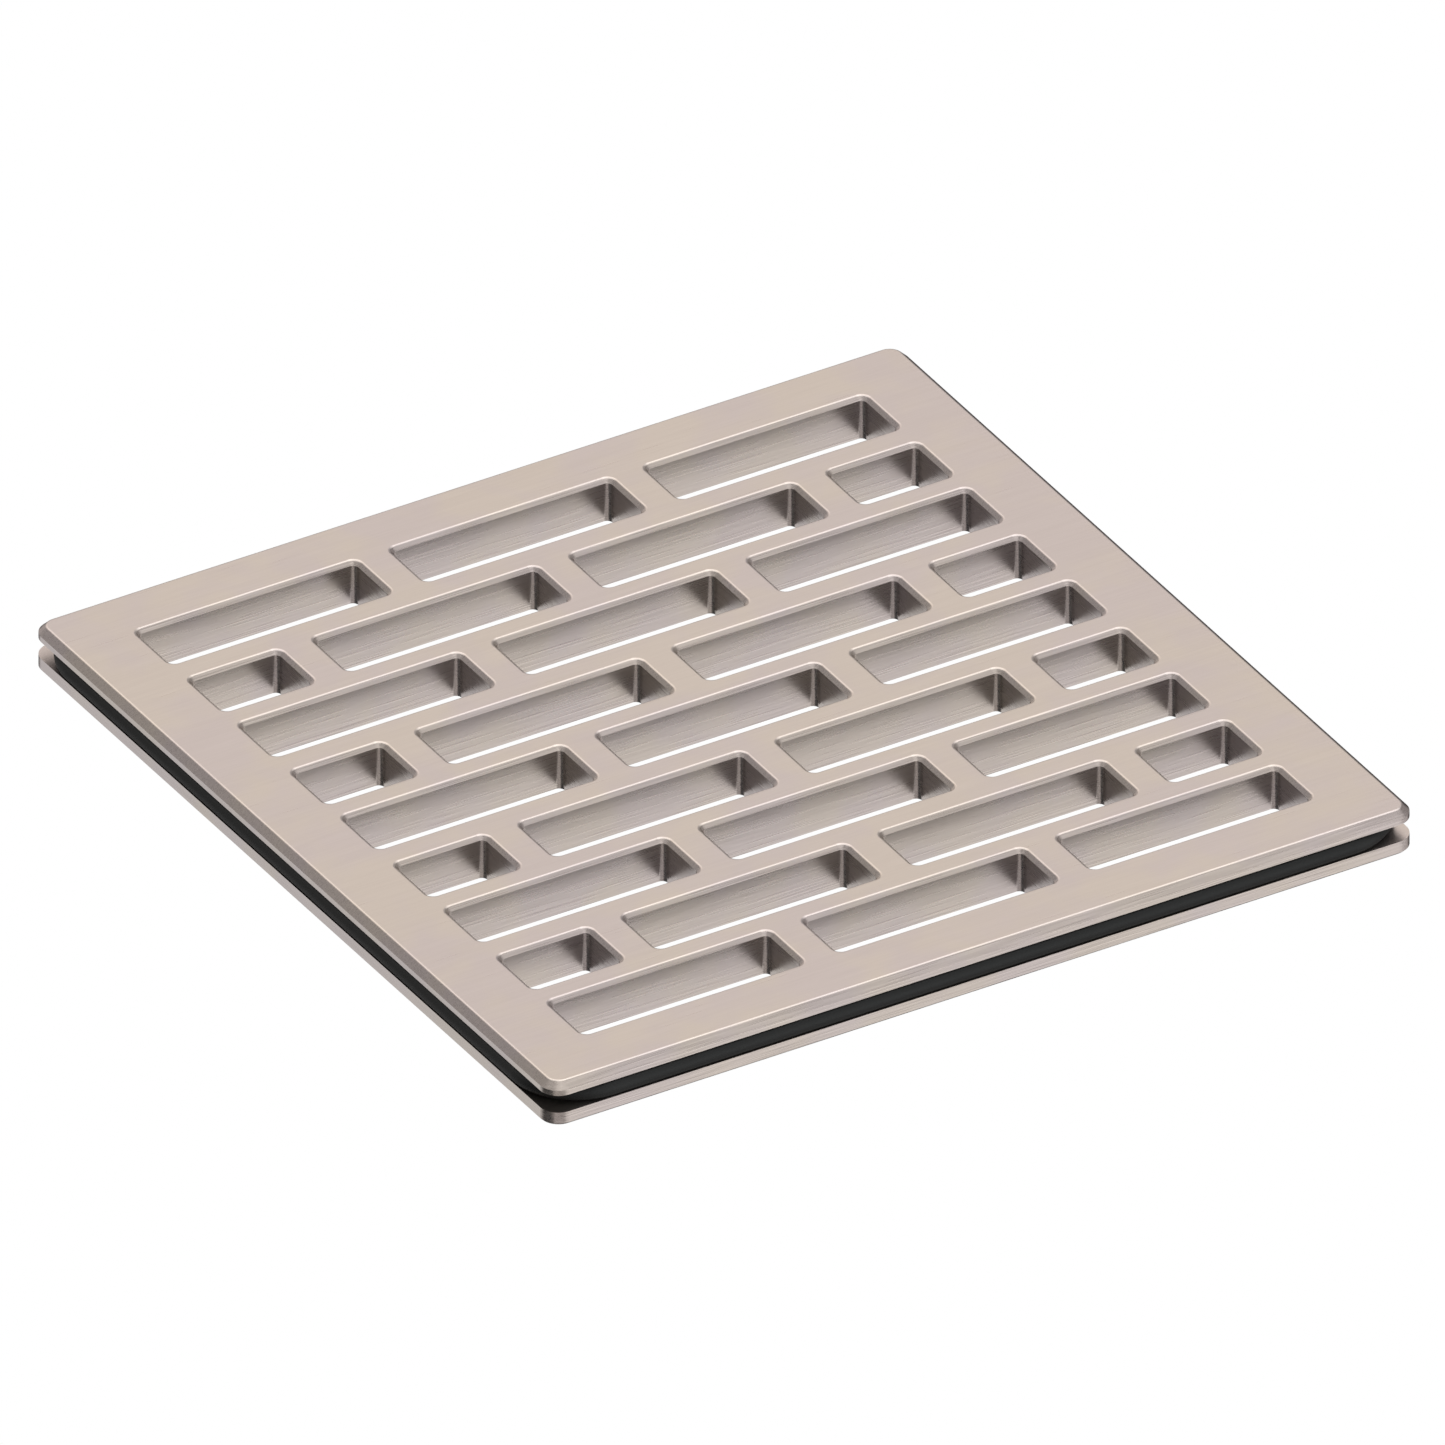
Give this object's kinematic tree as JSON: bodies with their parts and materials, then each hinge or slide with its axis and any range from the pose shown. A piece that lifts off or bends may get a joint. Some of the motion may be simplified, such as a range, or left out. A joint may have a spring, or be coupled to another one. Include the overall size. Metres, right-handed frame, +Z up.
{
  "type": "floor drain grate",
  "caption": "Square drop-in floor drain grate with overlapping rows of slots and a rubber O-ring held in a groove round its edge.",
  "frame": {"origin": "centre of the underside of the plate, which rests on the drain body's ledge", "axes": "+Z up to the face that is walked on, +X along the slots, +Y across the rows of slots"},
  "size_m": [0.096, 0.096, 0.0046],
  "materials": {
    "grate_plate": "brushed satin nickel, brush marks along X",
    "o_ring": "matt black"
  },
  "bodies": {
    "root": {"grate_plate": "grate_plate", "o_ring": "o_ring"}
  },
  "joints": []
}
